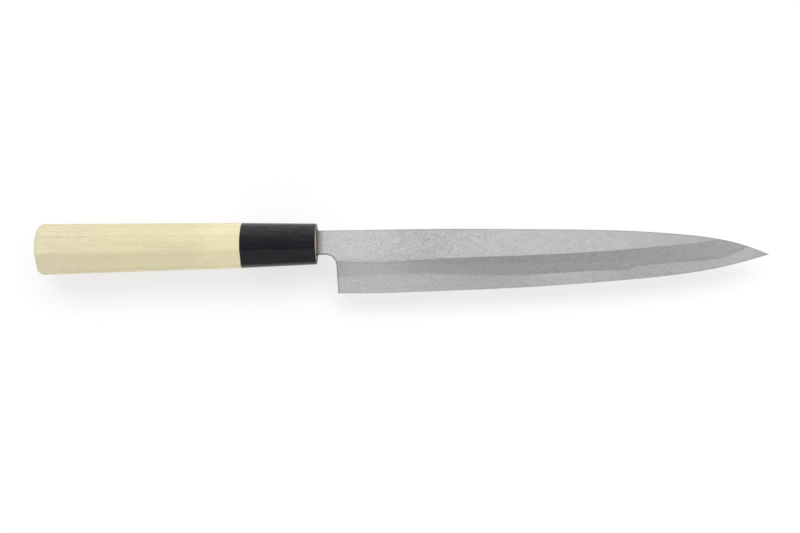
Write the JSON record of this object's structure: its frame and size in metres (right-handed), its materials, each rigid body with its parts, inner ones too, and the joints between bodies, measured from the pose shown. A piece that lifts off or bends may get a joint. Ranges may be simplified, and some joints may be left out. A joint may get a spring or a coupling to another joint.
{
  "type": "yanagiba knife",
  "caption": "Long narrow slicing knife with a chisel-ground blade, a hollow-ground back, a D-shaped wooden handle and a dark horn ferrule.",
  "frame": {"origin": "centre of the knife's box, at the bottom, where the handle rests when the knife lies on its flat back", "axes": "+X from the butt to the tip, +Y from the edge to the spine, +Z away from the flat back, towards the bevelled side"},
  "size_m": [0.3574, 0.0346, 0.0219],
  "materials": {
    "soft_iron": "bright satin on the flat side and a finer mist on the bevel",
    "hard_steel": "fine polish along the edge, ground satin on the back",
    "wood": "smooth, pale and unvarnished, with a fine straight grain",
    "horn": "polished black horn with a matte sanded front end",
    "seal": "matte dark resin"
  },
  "bodies": {
    "root": {"blade_soft_iron": "soft_iron", "blade_hard_steel": "hard_steel", "handle_wood": "wood", "horn_ferrule": "horn", "tang_seal": "seal"}
  },
  "joints": []
}
